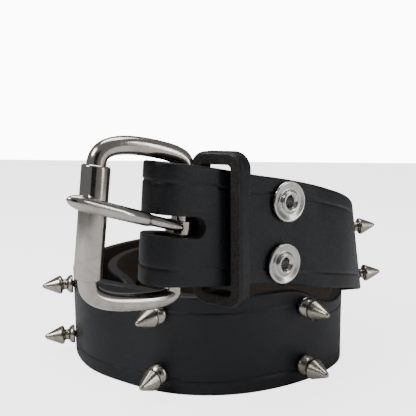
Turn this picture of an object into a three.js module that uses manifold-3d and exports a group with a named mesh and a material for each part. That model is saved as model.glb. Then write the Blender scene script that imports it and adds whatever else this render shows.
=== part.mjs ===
// A studded leather belt, standing on its edge in a loose coil with the unfastened roller buckle on top.
// Millimetres, +Z up, +Y away from the buckle side. The origin is the middle of the underside.
import * as THREE from 'three';
import { mergeVertices } from 'three/addons/utils/BufferGeometryUtils.js';
import Module from 'manifold-3d';

const wasm = await Module();
wasm.setup();

// Driving dimensions of the strap
const strapWidth = 38;
const strapThickness = 4.2;
const flapThickness = 2.4;
const edgeBevel = 0.8;
const sectionStep = 6;
const flapStep = 3;
const coilHalfWidth = 66;
const coilHalfDepth = 73.3;
const restingCut = 0.2;
const uprightShare = 0.5;
const layerGap = 0.3;
const flapEndBeyondSnaps = 13;
const tipRadius = strapWidth / 2;

// Running and seating clearances
const seatGap = 0.35;
const postClearance = 0.3;
const runningGap = 0.3;

// Buckle
const wireRadius = 2.8;
const buckleReach = 29.5;
const buckleHalfHeight = 23.6;
const heelHalfLength = strapWidth / 2 + 1;
const rollerLength = 32.6;
const rollerWall = 1;
const heelBarSlack = 5;
const buckleSwingDegrees = 8;
const buckleRaiseDegrees = 2.3;
const eyeWall = 1.3;
const eyeWidth = 4;
const eyeLift = 0.5;
const prongRadius = 2.1;
const prongOverhang = 10.2;
const prongSkewDegrees = 8.5;
const prongNeckShare = 0.8;
const slotPlay = 0.6;
const slotPastBar = 2.8;

// Keeper loop
const keeperPlace = 22;
const keeperWidth = 6.5;
const keeperThickness = 4.2;
const keeperTwistDegrees = 14;
const keeperLeanDegrees = -11;
const keeperEdgePlay = 2.6;
const keeperCorner = 1.5;
const keeperTopGap = 0.8;
const keeperSideGap = 0.7;

// Snaps that close the fold, one above the other
const snapPlace = 47.7;
const snapRowInset = 7.9;
const snapRadius = 7.4;
const snapHeight = 2.1;
const snapHoleRadius = 1.9;
const snapTubeRadius = 2.8;
const snapBackRadius = 5.6;
const snapBackThickness = 1;

// Spikes, in pairs along the strap
const spikeRadius = 4;
const spikeHeight = 13;
const spikePostRadius = 1.5;
const spikeHeadThickness = 1.2;
const spikeRowInset = 7.5;
const spikePairSpacing = 58.9;
const firstPairPlace = 132.5;
const spikePairs = 7;

// Holes for the prong, in the free end
const prongHoleRadius = 2.4;
const prongHoleSpacing = 25;
const prongHoles = 5;
const lastHoleFromTip = 75;

const along3 = new THREE.Vector3();
const worldUp = new THREE.Vector3(0, 0, 1);
const degrees = Math.PI / 180;

// The coil, station by station, from the fold round the buckle bar to the free end.
// bearing is in degrees about the coil's centre, reach a share of its half width and half depth, rise the
// height of the lower edge and dip the drop of the upper edge, both as shares of the strap's width, and
// lean the outward lean of the wall in degrees.
const stations = [
  { bearing: -112, reach: 1.275, rise: 1.315, lean: 1, dip: 0 },
  { bearing: -100, reach: 1.09, rise: 1.265, lean: 1, dip: 0 },
  { bearing: -82, reach: 0.865, rise: 1.17, lean: 1, dip: 0 },
  { bearing: -65, reach: 0.785, rise: 1.11, lean: -1, dip: 0 },
  { bearing: -44, reach: 0.84, rise: 1.01, lean: -4, dip: 0 },
  { bearing: -22, reach: 0.93, rise: 0.885, lean: -8, dip: 0 },
  { bearing: 0, reach: 1.02, rise: 0.68, lean: -8, dip: 0 },
  { bearing: 30, reach: 1.1, rise: 0.37, lean: -2, dip: 0 },
  { bearing: 60, reach: 1.15, rise: 0.2, lean: 0, dip: 0 },
  { bearing: 90, reach: 1.11, rise: 0.09, lean: 0, dip: 0 },
  { bearing: 120, reach: 1.04, rise: 0.02, lean: 0, dip: 0 },
  { bearing: 150, reach: 1.01, rise: 0, lean: 0, dip: 0 },
  { bearing: 180, reach: 0.985, rise: 0, lean: 1, dip: 0 },
  { bearing: 205, reach: 0.915, rise: 0, lean: 0, dip: 0 },
  { bearing: 228, reach: 0.805, rise: 0, lean: -4, dip: 0 },
  { bearing: 250, reach: 0.76, rise: 0, lean: 1, dip: 0 },
  { bearing: 270, reach: 0.73, rise: 0, lean: 2, dip: 0 },
  { bearing: 292, reach: 0.727, rise: 0, lean: 0, dip: 0 },
  { bearing: 310, reach: 0.755, rise: 0, lean: -1, dip: 0.03 },
  { bearing: 326, reach: 0.805, rise: 0, lean: 1, dip: 0.2 },
  { bearing: 341, reach: 0.857, rise: 0, lean: -1, dip: 0.2 },
  { bearing: 359, reach: 0.85, rise: 0, lean: 0, dip: 0.02 },
  { bearing: 385, reach: 0.8, rise: 0, lean: 0, dip: 0 },
  { bearing: 420, reach: 0.78, rise: 0, lean: 0, dip: 0 },
  { bearing: 460, reach: 0.773, rise: 0, lean: 0, dip: 0 },
  { bearing: 500, reach: 0.78, rise: 0, lean: 0, dip: 0 },
  { bearing: 540, reach: 0.76, rise: 0, lean: 0, dip: 0 },
  { bearing: 590, reach: 0.68, rise: 0, lean: 0, dip: 0 },
];
const foldBearing = -101.7;
const tipBearing = stations.at(-1).bearing;

// Smooth value of one column of the stations at any bearing.
function column(name, bearing) {
  const last = stations.length - 2;
  let k = stations.findIndex((row) => row.bearing > bearing) - 1;
  k = k < 0 ? (bearing <= stations[0].bearing ? 0 : last) : Math.min(k, last);
  const slope = (i) => {
    const j = Math.min(Math.max(i, 0), last);
    return (stations[j + 1][name] - stations[j][name]) / (stations[j + 1].bearing - stations[j].bearing);
  };
  const span = (i) => stations[i + 1].bearing - stations[i].bearing;
  const tangent = (i) => {
    if (i === 0) return slope(0);
    if (i === last + 1) return slope(last);
    return (span(i) * slope(i - 1) + span(i - 1) * slope(i)) / (span(i) + span(i - 1));
  };
  const h = span(k);
  const t = (bearing - stations[k].bearing) / h;
  const rest = 1 - t;
  return (1 + 2 * t) * rest * rest * stations[k][name] + t * rest * rest * h * tangent(k)
    + t * t * (3 - 2 * t) * stations[k + 1][name] - t * t * rest * h * tangent(k + 1);
}

// Lower outer edge of the strap at a bearing.
function edgePoint(bearing) {
  const reach = column('reach', bearing);
  const angle = bearing * degrees;
  const x = coilHalfWidth * reach * Math.cos(angle);
  const y = coilHalfDepth * reach * Math.sin(angle);
  return new THREE.Vector3(x, y, strapWidth * column('rise', bearing) - restingCut);
}

// The strap's own axes at a bearing: along it, across it upwards, and out of its grain side.
function frameAtBearing(bearing) {
  const nearby = 0.05;
  const edge = edgePoint(bearing);
  const along = edgePoint(bearing + nearby).sub(edgePoint(bearing - nearby)).normalize();
  const sideways = along.clone().cross(worldUp).normalize();
  const upright = sideways.clone().cross(along).lerp(worldUp, uprightShare).normalize();
  const lean = column('lean', bearing) * degrees;
  const across = upright.multiplyScalar(Math.cos(lean)).addScaledVector(sideways, Math.sin(lean));
  const out = along.clone().cross(across);
  return { edge, along, across, out, dip: Math.max(column('dip', bearing), 0) };
}

// Distances along the middle of the strap, measured from the middle of the fold.
const walk = [];
const walkStep = 0.5;
for (let bearing = foldBearing; bearing <= tipBearing; bearing += walkStep) {
  const frame = frameAtBearing(bearing);
  const middle = frame.edge.clone().addScaledVector(frame.across, strapWidth / 2);
  const before = walk.at(-1);
  walk.push({ bearing, middle, place: before ? before.place + middle.distanceTo(before.middle) : 0 });
}
const strapLength = walk.at(-1).place;

function frameAt(place) {
  const k = Math.min(Math.max(walk.findIndex((row) => row.place > place), 1), walk.length - 1);
  const a = walk[place >= strapLength ? walk.length - 2 : k - 1];
  const b = walk[place >= strapLength ? walk.length - 1 : k];
  const share = (place - a.place) / (b.place - a.place);
  return frameAtBearing(a.bearing + share * (b.bearing - a.bearing));
}

// A point of the strap: so far up its width and so deep below its grain side.
function strapPoint(frame, up, depth) {
  return frame.edge.clone().addScaledVector(frame.across, up).addScaledVector(frame.out, -depth);
}

// Axes square to the grain side at one point of it, where the wall's lean changes along the strap.
function seatAt(place, up) {
  const step = 1;
  const ahead = strapPoint(frameAt(place + step), up, 0);
  const behind = strapPoint(frameAt(Math.max(place - step, 0)), up, 0);
  const along = ahead.sub(behind).normalize();
  const frame = frameAt(place);
  const out = along.clone().cross(frame.across).normalize();
  const across = out.clone().cross(along);
  return { origin: strapPoint(frame, up, 0), along, across, out };
}

// Where hardware sits on both faces of the wall: clear of the wall's own curve under a round foot.
function footing(place, up, frontRadius, backRadius, depth) {
  const seat = seatAt(place, up);
  const samples = 12;
  const heights = (radius, deep) => Array.from({ length: samples }, (_, i) => {
    const angle = (2 * Math.PI * i) / samples;
    const wall = frameAt(place + radius * Math.cos(angle));
    return strapPoint(wall, up + radius * Math.sin(angle), deep).sub(seat.origin).dot(seat.out);
  });
  return {
    seat,
    front: Math.max(0, ...heights(frontRadius, 0)) + seatGap,
    back: Math.min(-depth, ...heights(backRadius, depth)) - seatGap,
  };
}

function seatPoint(seat, forward, sideways = 0, up = 0) {
  return seat.origin.clone().addScaledVector(seat.out, forward)
    .addScaledVector(seat.along, sideways).addScaledVector(seat.across, up);
}

// Closed body through rings of equally many points, joined end to end or capped with fans.
function loft(rings, joined = false) {
  const count = rings[0].length;
  const positions = rings.flat().flatMap((p) => [p.x, p.y, p.z]);
  const triangles = [];
  const bands = joined ? rings.length : rings.length - 1;
  for (let r = 0; r < bands; r += 1) {
    const next = (r + 1) % rings.length;
    for (let i = 0; i < count; i += 1) {
      const j = (i + 1) % count;
      const corners = [r * count + i, r * count + j, next * count + j, next * count + i];
      triangles.push(corners[0], corners[1], corners[2], corners[0], corners[2], corners[3]);
    }
  }
  if (!joined) {
    const end = (rings.length - 1) * count;
    for (let i = 1; i < count - 1; i += 1) {
      triangles.push(0, i + 1, i);
      triangles.push(end, end + i, end + i + 1);
    }
  }
  const geometry = new THREE.BufferGeometry();
  geometry.setAttribute('position', new THREE.Float32BufferAttribute(positions, 3));
  geometry.setIndex(triangles);
  return faceOutwards(geometry);
}

// Turns a closed mesh right side out.
function faceOutwards(geometry) {
  const position = geometry.getAttribute('position');
  const index = geometry.getIndex();
  const corner = (i) => new THREE.Vector3().fromBufferAttribute(position, index.getX(i));
  let volume = 0;
  for (let i = 0; i < index.count; i += 3) {
    volume += corner(i).dot(corner(i + 1).cross(corner(i + 2)));
  }
  if (volume < 0) {
    for (let i = 0; i < index.count; i += 3) {
      const swap = index.getX(i + 1);
      index.setX(i + 1, index.getX(i + 2));
      index.setX(i + 2, swap);
    }
  }
  return geometry;
}

// Body of revolution about an axis, from profile rows of radius and height. A closed profile makes a ring.
function turn(profile, sides, origin, axis, joined = false) {
  const side = new THREE.Vector3(1, 0, 0);
  if (Math.abs(axis.x) > 0.8) side.set(0, 1, 0);
  const u = side.cross(axis).normalize();
  const v = axis.clone().cross(u);
  const rings = profile.map(([radius, height]) => {
    const ring = [];
    for (let i = 0; i < sides; i += 1) {
      const angle = (2 * Math.PI * i) / sides;
      ring.push(origin.clone().addScaledVector(axis, height)
        .addScaledVector(u, radius * Math.cos(angle)).addScaledVector(v, radius * Math.sin(angle)));
    }
    return ring;
  });
  return loft(rings, joined);
}

function toManifold(geometry) {
  const bare = new THREE.BufferGeometry();
  bare.setAttribute('position', geometry.getAttribute('position').clone());
  bare.setIndex(geometry.getIndex().clone());
  const merged = mergeVertices(bare, 1e-5);
  return new wasm.Manifold(new wasm.Mesh({
    numProp: 3,
    vertProperties: new Float32Array(merged.getAttribute('position').array),
    triVerts: new Uint32Array(merged.getIndex().array),
  }));
}

function toGeometry(solid) {
  const mesh = solid.getMesh();
  const geometry = new THREE.BufferGeometry();
  geometry.setAttribute('position', new THREE.Float32BufferAttribute(mesh.vertProperties, 3));
  geometry.setIndex(Array.from(mesh.triVerts));
  return geometry;
}

// Section of the strap: grain side first, both its corners bevelled. The flesh corners are broken lightly.
function strapRing(frame, low, high, grain, flesh) {
  const inward = Math.sign(flesh - grain);
  const bevel = Math.min(edgeBevel, (high - low) / 3);
  const fleshBevel = bevel / 2;
  return [
    strapPoint(frame, low + bevel, grain),
    strapPoint(frame, high - bevel, grain),
    strapPoint(frame, high, grain + inward * bevel),
    strapPoint(frame, high, flesh - inward * fleshBevel),
    strapPoint(frame, high - fleshBevel, flesh),
    strapPoint(frame, low + fleshBevel, flesh),
    strapPoint(frame, low, flesh - inward * fleshBevel),
    strapPoint(frame, low, grain + inward * bevel),
  ];
}

// Fold round the heel bar: its inner radius, and the bar's centre below the grain side.
const foldInnerRadius = wireRadius + 2 * runningGap;
const barDepth = strapThickness + foldInnerRadius;
const flapLength = snapPlace + flapEndBeyondSnaps;
const flapMeets = keeperPlace - keeperWidth;

// The buckle hangs by its upper arch on the strap's edge. The prong's eye is free to slide on the bar.
const buckleDrop = buckleHalfHeight - wireRadius - strapWidth / 2 - seatGap;
const eyeCentre = strapWidth / 2 - buckleDrop + eyeLift;
const prongSlope = Math.tan(prongSkewDegrees * degrees);

// Room between the strap and the turned-back flap, closing from the fold to where they meet.
function layerRoom(place) {
  const share = THREE.MathUtils.smoothstep(place, heelBarSlack + wireRadius, flapMeets);
  return THREE.MathUtils.lerp(2 * foldInnerRadius, layerGap, share);
}

function flapLeather(place) {
  return THREE.MathUtils.lerp(strapThickness, flapThickness, THREE.MathUtils.smoothstep(place, 0, flapMeets));
}

function foldFrame(turnAngle) {
  const frame = frameAt(0);
  const centre = frame.edge.clone().addScaledVector(frame.out, -barDepth);
  const out = frame.out.clone().multiplyScalar(Math.cos(turnAngle)).addScaledVector(frame.along, -Math.sin(turnAngle));
  const edge = centre.addScaledVector(out, foldInnerRadius + strapThickness);
  return { edge, across: frame.across, out, along: along3 };
}

function makeStrap() {
  const rings = [];
  const flapSteps = Math.ceil(flapLength / flapStep);
  for (let i = flapSteps; i >= 1; i -= 1) {
    const place = (flapLength * i) / flapSteps;
    const flesh = strapThickness + layerRoom(place);
    rings.push(strapRing(frameAt(place), 0, strapWidth, flesh + flapLeather(place), flesh));
  }
  const foldSteps = 10;
  for (let i = foldSteps; i >= 0; i -= 1) {
    rings.push(strapRing(foldFrame((Math.PI * i) / foldSteps), 0, strapWidth, 0, strapThickness));
  }
  const straight = strapLength - tipRadius;
  const steps = Math.ceil(straight / sectionStep);
  for (let i = 1; i <= steps; i += 1) {
    const frame = frameAt((straight * i) / steps);
    rings.push(strapRing(frame, 0, strapWidth * (1 - frame.dip), 0, strapThickness));
  }
  const tipSteps = 7;
  const bluntness = 0.96;
  for (let i = 1; i <= tipSteps; i += 1) {
    const angle = (Math.PI / 2) * bluntness * (i / tipSteps);
    const half = (strapWidth / 2) * Math.cos(angle);
    const frame = frameAt(straight + tipRadius * Math.sin(angle));
    rings.push(strapRing(frame, strapWidth / 2 - half, strapWidth / 2 + half, 0, strapThickness));
  }
  return loft(rings);
}

// Round cutter through the strap, square to its grain side.
function roundCutter(place, up, radius, depth, sides) {
  const seat = seatAt(place, up);
  const profile = [[radius, 0], [radius, depth + 2]];
  return toManifold(turn(profile, sides, seatPoint(seat, 1), seat.out.clone().negate()));
}

// Slot for the prong's eye, through the fold and both layers.
function slotCutter() {
  const frame = frameAt(0);
  const rodAtFold = prongSlope * (heelBarSlack + foldInnerRadius + strapThickness);
  const low = eyeCentre - eyeWidth / 2 - slotPlay;
  const high = eyeCentre + rodAtFold + prongRadius * prongNeckShare + slotPlay;
  const half = (high - low) / 2;
  const middle = (high + low) / 2;
  const outside = foldInnerRadius + strapThickness + 1;
  const through = 2 * barDepth + 2;
  const outline = [];
  const arcCentre = heelBarSlack + slotPastBar;
  outline.push([-outside, -half], [arcCentre, -half]);
  const arcSteps = 8;
  for (let i = 1; i < arcSteps; i += 1) {
    const angle = -Math.PI / 2 + (Math.PI * i) / arcSteps;
    outline.push([arcCentre + half * Math.cos(angle), half * Math.sin(angle)]);
  }
  outline.push([arcCentre, half], [-outside, half]);
  const layer = (depth) => outline.map(([along, up]) => strapPoint(frame, middle + up, depth)
    .addScaledVector(frame.along, along));
  return toManifold(loft([layer(-1), layer(through - 1)]));
}

function belowFloorCutter() {
  const reach = 3 * Math.max(coilHalfWidth, coilHalfDepth);
  const box = new THREE.BoxGeometry(reach, reach, strapWidth);
  box.translate(0, 0, -strapWidth / 2);
  box.deleteAttribute('normal');
  box.deleteAttribute('uv');
  return toManifold(mergeVertices(box));
}

const spikePlaces = [];
for (let i = 0; i < spikePairs; i += 1) {
  spikePlaces.push(firstPairPlace + i * spikePairSpacing);
}
const spikeRows = { lower: spikeRowInset, upper: strapWidth - spikeRowInset };
const snapRows = { lower: snapRowInset, upper: strapWidth - snapRowInset };
const stackDepth = strapThickness + layerGap + flapThickness;

function makeCutStrap() {
  let solid = toManifold(makeStrap()).subtract(slotCutter());
  for (const place of spikePlaces) {
    for (const up of Object.values(spikeRows)) {
      solid = solid.subtract(roundCutter(place, up, spikePostRadius + postClearance, strapThickness, 8));
    }
  }
  for (const up of Object.values(snapRows)) {
    solid = solid.subtract(roundCutter(snapPlace, up, snapTubeRadius + postClearance, stackDepth, 16));
  }
  for (let i = 0; i < prongHoles; i += 1) {
    const place = strapLength - lastHoleFromTip - i * prongHoleSpacing;
    solid = solid.subtract(roundCutter(place, strapWidth / 2, prongHoleRadius, strapThickness, 12));
  }
  return toGeometry(solid.subtract(belowFloorCutter()));
}

// Spike: domed base, narrow neck and blunt cone in front, plain screw post and head behind.
function makeSpike(place, up) {
  const r = spikeRadius;
  const h = spikeHeight;
  const headRadius = r * 0.88;
  const { seat, front, back } = footing(place, up, r, headRadius, strapThickness);
  const stack = back - front;
  const profile = [
    [headRadius, stack - spikeHeadThickness],
    [headRadius, stack],
    [spikePostRadius, stack],
    [spikePostRadius, 0],
    [r * 0.93, 0],
    [r, h * 0.05],
    [r * 0.9, h * 0.14],
    [r * 0.58, h * 0.22],
    [r * 0.56, h * 0.31],
    [r * 0.9, h * 0.36],
    [r, h * 0.42],
    [r * 0.9, h * 0.5],
    [r * 0.2, h * 0.965],
    [r * 0.08, h],
  ];
  return turn(profile, 10, seatPoint(seat, front), seat.out);
}

// Snap: dished flange with a raised inner ring, on a tube through both layers, and a plain disc behind.
function makeSnap(up) {
  const r = snapRadius;
  const h = snapHeight;
  const { seat, front, back } = footing(snapPlace, up, r, snapBackRadius, stackDepth);
  const stack = back - front;
  const profile = [
    [snapTubeRadius, 0],
    [r * 0.93, 0],
    [r, h * 0.3],
    [r * 0.95, h * 0.62],
    [r * 0.6, h * 0.38],
    [r * 0.53, h * 0.8],
    [r * 0.44, h],
    [r * 0.34, h * 0.9],
    [snapHoleRadius, h * 0.5],
    [snapHoleRadius, stack - snapBackThickness],
    [snapBackRadius, stack - snapBackThickness],
    [snapBackRadius, stack],
    [snapTubeRadius, stack],
  ];
  return turn(profile, 24, seatPoint(seat, front), seat.out, true);
}

// The buckle's own axes: its heel bar stands between the layers, and the frame runs on in line with the strap.
const barFrame = frameAt(0);
const barCentre = strapPoint(barFrame, strapWidth / 2 - buckleDrop, barDepth)
  .addScaledVector(barFrame.along, heelBarSlack);
const swungOut = new THREE.Quaternion().setFromAxisAngle(barFrame.across, buckleSwingDegrees * degrees);
const buckleOut = barFrame.out.clone().applyQuaternion(swungOut);
const raised = new THREE.Quaternion().setFromAxisAngle(buckleOut, -buckleRaiseDegrees * degrees);
const buckleUp = barFrame.across.clone().applyQuaternion(raised);
const buckleAway = barFrame.along.clone().negate().applyQuaternion(swungOut).applyQuaternion(raised);

function bucklePoint(away, up, forward) {
  return barCentre.clone().addScaledVector(buckleAway, away)
    .addScaledVector(buckleUp, up).addScaledVector(buckleOut, forward);
}

// Centre line of the wire: straight at the heel and under the roller, arched between them.
function buckleOutline() {
  const reach = buckleReach;
  const top = buckleHalfHeight;
  const rollerEnd = rollerLength / 2 + runningGap;
  const rise = top - rollerEnd;
  const v = (x, y) => new THREE.Vector2(x, y);
  const arch = [
    new THREE.LineCurve(v(0, 0), v(0, heelHalfLength)),
    new THREE.CubicBezierCurve(v(0, heelHalfLength), v(0, top * 0.95), v(reach * 0.15, top), v(reach * 0.47, top)),
    new THREE.CubicBezierCurve(v(reach * 0.47, top), v(reach * 0.8, top), v(reach, top - rise * 0.25), v(reach, rollerEnd)),
    new THREE.LineCurve(v(reach, rollerEnd), v(reach, 0)),
  ];
  const bends = [1, 10, 9, 1];
  const half = arch.flatMap((curve, i) => curve.getPoints(bends[i]).slice(1));
  half.pop();
  const mirrored = half.map((p) => v(p.x, -p.y)).reverse();
  return [...half, v(reach, 0), ...mirrored, v(0, 0)];
}

function makeBuckleFrame() {
  const outline = buckleOutline();
  const sides = 12;
  const rings = outline.map((p, i) => {
    const before = outline[(i + outline.length - 1) % outline.length];
    const after = outline[(i + 1) % outline.length];
    const tangent = after.clone().sub(before).normalize();
    const ring = [];
    for (let k = 0; k < sides; k += 1) {
      const angle = (2 * Math.PI * k) / sides;
      const aside = wireRadius * Math.cos(angle);
      ring.push(bucklePoint(p.x + tangent.y * aside, p.y - tangent.x * aside, wireRadius * Math.sin(angle)));
    }
    return ring;
  });
  return loft(rings, true);
}

function makeRoller() {
  const inner = wireRadius + runningGap;
  const outer = inner + rollerWall;
  const half = rollerLength / 2;
  const profile = [[inner, -half], [outer, -half], [outer, half], [inner, half]];
  return turn(profile, 24, bucklePoint(buckleReach, 0, 0), buckleUp, true);
}

// Prong: an eye on the heel bar and a rod that lies on the roller and ends past it.
function makeProng() {
  const eyeInner = wireRadius + runningGap;
  const eyeOuter = eyeInner + eyeWall;
  const half = eyeWidth / 2;
  const ring = [[eyeInner, -half], [eyeOuter, -half], [eyeOuter, half], [eyeInner, half]];
  const eye = toManifold(turn(ring, 20, bucklePoint(0, eyeLift, 0), buckleUp, true));
  const rest = wireRadius + runningGap + rollerWall + runningGap + prongRadius;
  const tip = buckleReach + prongOverhang;
  const rod = [
    { away: 0.04, forward: eyeInner + eyeWall * 0.65, thick: 0.55 },
    { away: 0.14, forward: eyeOuter, thick: prongNeckShare },
    { away: 0.34, forward: eyeOuter + 1.2, thick: prongNeckShare },
    { away: 0.4, forward: eyeOuter + 1.6, thick: 1 },
    { away: 0.6, forward: rest, thick: 1 },
    { away: 0.9, forward: rest, thick: 1 },
    { away: 0.97, forward: rest - 0.2, thick: 0.72 },
    { away: 1, forward: rest - 0.4, thick: 0.3 },
  ];
  const rings = rod.map(({ away, forward, thick }) => {
    const circle = [];
    const sides = 12;
    for (let k = 0; k < sides; k += 1) {
      const angle = (2 * Math.PI * k) / sides;
      const up = away * tip * prongSlope + eyeLift + prongRadius * thick * Math.cos(angle);
      circle.push(bucklePoint(away * tip, up, forward + prongRadius * thick * Math.sin(angle)));
    }
    return circle;
  });
  return toGeometry(eye.add(toManifold(loft(rings))));
}

// Keeper: a stout leather loop round both layers, a little askew on them.
function makeKeeper() {
  const frame = seatAt(keeperPlace, strapWidth / 2);
  const twist = keeperTwistDegrees * degrees;
  const lean = keeperLeanDegrees * degrees;
  const turnIn = new THREE.Quaternion().setFromAxisAngle(frame.across, twist);
  const tilt = new THREE.Quaternion().setFromAxisAngle(frame.out, -lean);
  const along = frame.along.clone().applyQuaternion(turnIn).applyQuaternion(tilt);
  const out = frame.out.clone().applyQuaternion(turnIn).applyQuaternion(tilt);
  const across = frame.across.clone().applyQuaternion(turnIn).applyQuaternion(tilt);
  const half = keeperWidth / 2;
  const passing = { front: 0, back: 0, top: 0 };
  for (let place = keeperPlace - 2 * keeperWidth; place <= keeperPlace + 2 * keeperWidth; place += 0.5) {
    for (const up of [0, strapWidth / 2, strapWidth]) {
      for (const depth of [0, strapThickness + layerRoom(place) + flapLeather(place)]) {
        const offset = strapPoint(frameAt(place), up, depth).sub(frame.origin);
        if (Math.abs(offset.dot(along)) > half + seatGap) continue;
        passing.front = Math.max(passing.front, offset.dot(out));
        passing.back = Math.min(passing.back, offset.dot(out));
        passing.top = Math.max(passing.top, offset.dot(across));
      }
    }
  }
  const halfRoom = (passing.front - passing.back) / 2 + keeperSideGap;
  const halfHeight = strapWidth / 2 + keeperEdgePlay;
  const centre = frame.origin.clone()
    .addScaledVector(out, (passing.front + passing.back) / 2)
    .addScaledVector(across, passing.top + keeperTopGap - halfHeight);
  const outlineAt = (offset, round) => {
    const points = [];
    const cornerSteps = 5;
    const signs = [[1, 1], [-1, 1], [-1, -1], [1, -1]];
    signs.forEach(([sx, sy], quarter) => {
      for (let i = 0; i <= cornerSteps; i += 1) {
        const angle = (Math.PI / 2) * (quarter + i / cornerSteps);
        const radius = keeperCorner + offset;
        points.push([sx * (halfRoom - keeperCorner) + radius * Math.cos(angle),
          sy * (halfHeight - keeperCorner) + radius * Math.sin(angle)]);
      }
    });
    return points.map(([forward, up]) => centre.clone().addScaledVector(out, forward)
      .addScaledVector(across, up).addScaledVector(along, round));
  };
  const soft = edgeBevel;
  const sections = [
    outlineAt(0, -half),
    outlineAt(keeperThickness - soft, -half),
    outlineAt(keeperThickness, soft - half),
    outlineAt(keeperThickness, half - soft),
    outlineAt(keeperThickness - soft, half),
    outlineAt(0, half),
  ];
  return loft(sections, true);
}

const blackLeather = new THREE.MeshStandardMaterial({ color: 0x14181f, roughness: 0.55, metalness: 0 });
const nickel = new THREE.MeshStandardMaterial({ color: 0xc9c2b4, roughness: 0.22, metalness: 1 });
const spikeNickel = new THREE.MeshStandardMaterial({ color: 0xb8ad9c, roughness: 0.3, metalness: 1 });
const brightSteel = new THREE.MeshStandardMaterial({ color: 0xd6d4cf, roughness: 0.25, metalness: 1 });

const belt = new THREE.Group();

function addPiece(name, geometry, material) {
  const mesh = new THREE.Mesh(geometry, material);
  mesh.name = name;
  belt.add(mesh);
}

addPiece('strap', makeCutStrap(), blackLeather);
addPiece('keeper', makeKeeper(), blackLeather);
addPiece('buckle_frame', makeBuckleFrame(), nickel);
addPiece('roller', makeRoller(), nickel);
addPiece('prong', makeProng(), nickel);
for (const [row, up] of Object.entries(snapRows)) {
  addPiece(`snap_${row}`, makeSnap(up), brightSteel);
}
spikePlaces.forEach((place, i) => {
  for (const [row, up] of Object.entries(spikeRows)) {
    addPiece(`spike_${row}_${i + 1}`, makeSpike(place, up), spikeNickel);
  }
});

// Stand the coil over the origin: the middle of its box, on its underside.
const box = new THREE.Box3().setFromObject(belt, true);
const middle = box.getCenter(new THREE.Vector3());
belt.position.set(-middle.x, -middle.y, -box.min.z);

export default belt;
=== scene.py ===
"""Looks of the studded leather belt: strap, keeper, roller buckle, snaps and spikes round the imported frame."""

import math
from collections import namedtuple

import bmesh
import bpy
from mathutils import Matrix, Quaternion, Vector, geometry, noise


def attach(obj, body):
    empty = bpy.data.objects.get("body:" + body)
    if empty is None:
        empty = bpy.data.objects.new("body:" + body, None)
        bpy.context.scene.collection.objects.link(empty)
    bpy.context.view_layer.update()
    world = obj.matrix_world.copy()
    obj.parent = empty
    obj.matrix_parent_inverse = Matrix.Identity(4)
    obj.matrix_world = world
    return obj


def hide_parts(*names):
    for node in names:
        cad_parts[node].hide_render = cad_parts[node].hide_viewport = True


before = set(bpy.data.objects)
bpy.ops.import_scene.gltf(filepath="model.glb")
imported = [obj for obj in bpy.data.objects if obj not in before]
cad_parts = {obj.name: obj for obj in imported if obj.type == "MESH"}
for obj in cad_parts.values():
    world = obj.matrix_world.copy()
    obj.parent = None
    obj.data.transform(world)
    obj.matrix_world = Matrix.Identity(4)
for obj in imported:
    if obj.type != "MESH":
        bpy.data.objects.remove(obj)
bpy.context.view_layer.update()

MM = 0.001

# Strap
STRAP_WIDTH = 38 * MM
STRAP_THICKNESS = 4.2 * MM
FLAP_THICKNESS = 2.4 * MM
COIL_HALF_WIDTH = 66 * MM
COIL_HALF_DEPTH = 73.3 * MM
COIL_CENTRE = Vector((-2.33266, 3.20927, 0)) * MM
RESTING_CUT = 0.2 * MM
UPRIGHT_SHARE = 0.5
LAYER_GAP = 0.3 * MM
TIP_RADIUS = STRAP_WIDTH / 2
RING_STEP = 1.5 * MM
GRAIN_CORNER = 0.95 * MM
FLESH_CORNER = 0.4 * MM
CREASE_INSET = 5.9 * MM
CREASE_DEPTH = 0.34 * MM
CREASE_HALF_WIDTH = 0.62 * MM
UNEVENNESS = 0.16 * MM

# Clearances
SEAT_GAP = 0.35 * MM
POST_CLEARANCE = 0.3 * MM
RUNNING_GAP = 0.3 * MM

# Buckle
WIRE_RADIUS = 2.8 * MM
BUCKLE_REACH = 29.5 * MM
BUCKLE_HALF_HEIGHT = 23.6 * MM
HEEL_HALF_LENGTH = STRAP_WIDTH / 2 + 1 * MM
ROLLER_LENGTH = 32.6 * MM
ROLLER_WALL = 1 * MM
HEEL_BAR_SLACK = 5 * MM
BUCKLE_SWING = math.radians(8)
BUCKLE_RAISE = math.radians(2.3)
EYE_WALL = 1.3 * MM
EYE_WIDTH = 4 * MM
EYE_LIFT = 0.5 * MM
PRONG_RADIUS = 2.1 * MM
PRONG_OVERHANG = 10.2 * MM
PRONG_SLOPE = math.tan(math.radians(8.5))
PRONG_NECK_SHARE = 0.8
SLOT_PLAY = 0.6 * MM
SLOT_PAST_BAR = 2.8 * MM

# Keeper
KEEPER_PLACE = 22 * MM
KEEPER_WIDTH = 6.5 * MM
KEEPER_THICKNESS = 4.2 * MM
KEEPER_TWIST = math.radians(14)
KEEPER_LEAN = math.radians(-11)
KEEPER_EDGE_PLAY = 2.6 * MM
KEEPER_CORNER = 1.5 * MM
KEEPER_TOP_GAP = 0.8 * MM
KEEPER_SIDE_GAP = 0.7 * MM

# Snaps
SNAP_PLACE = 47.7 * MM
SNAP_ROW_INSET = 7.9 * MM
SNAP_RADIUS = 7.4 * MM
SNAP_HEIGHT = 2.1 * MM
SNAP_HOLE_RADIUS = 1.9 * MM
SNAP_TUBE_RADIUS = 2.8 * MM
SNAP_BACK_RADIUS = 5.6 * MM
SNAP_BACK_THICKNESS = 1 * MM
FLAP_LENGTH = SNAP_PLACE + 13 * MM

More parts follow.
